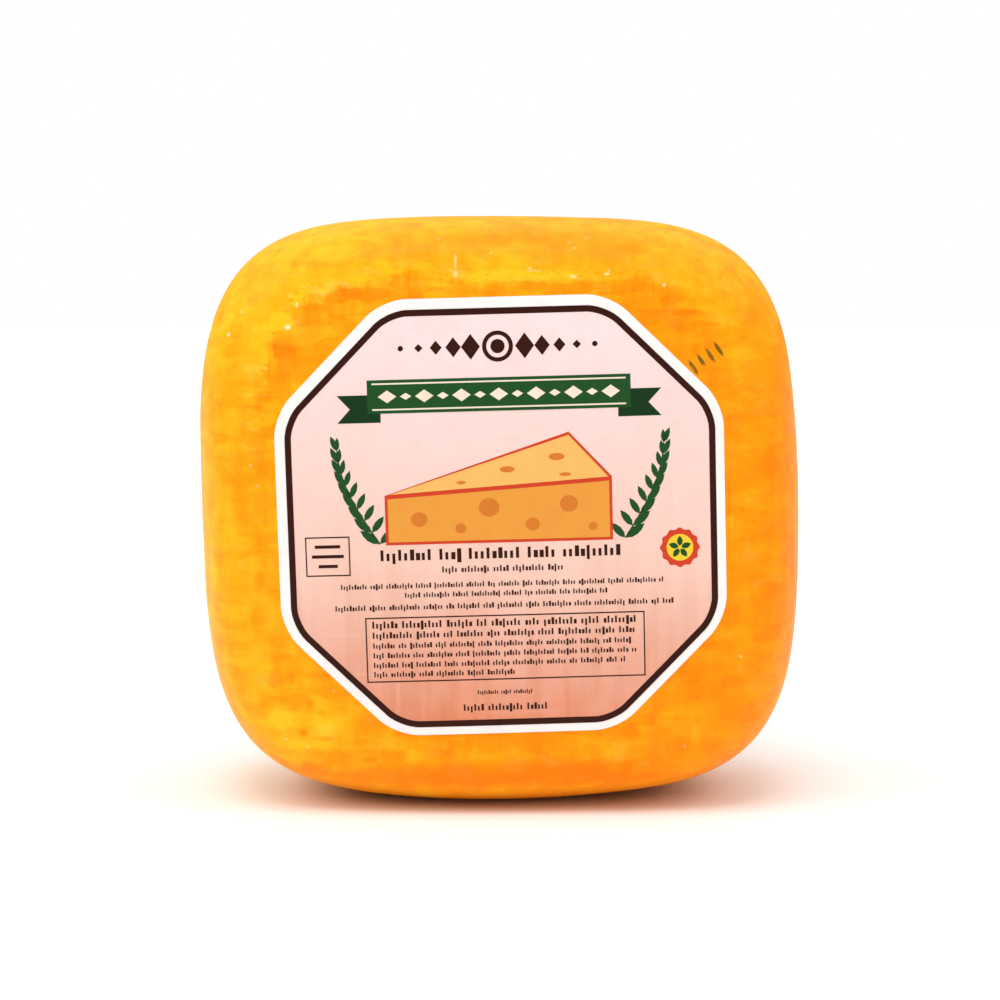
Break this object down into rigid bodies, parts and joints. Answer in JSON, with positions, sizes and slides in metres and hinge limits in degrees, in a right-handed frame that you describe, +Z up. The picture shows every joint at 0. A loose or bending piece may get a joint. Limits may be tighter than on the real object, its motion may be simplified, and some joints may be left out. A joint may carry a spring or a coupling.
{
  "type": "mahon cheese",
  "caption": "Whole uncut cheese wheel, square with pillowed rounded sides and an orange-yellow coated rind, standing on its side, with a big paper label on its front face.",
  "frame": {"origin": "on the surface the wheel stands on, under the middle of its bounding box", "axes": "+X to the right across the labelled face, +Y from the labelled front face to the back face, +Z up"},
  "size_m": [0.1968, 0.0862, 0.1912],
  "materials": {
    "rind": "thin orange-yellow food coating, mottled, semi-gloss",
    "label_paper": "printed coated paper, pale pink with a white border"
  },
  "bodies": {
    "root": {"cheese": "rind", "label": "label_paper"}
  },
  "joints": []
}
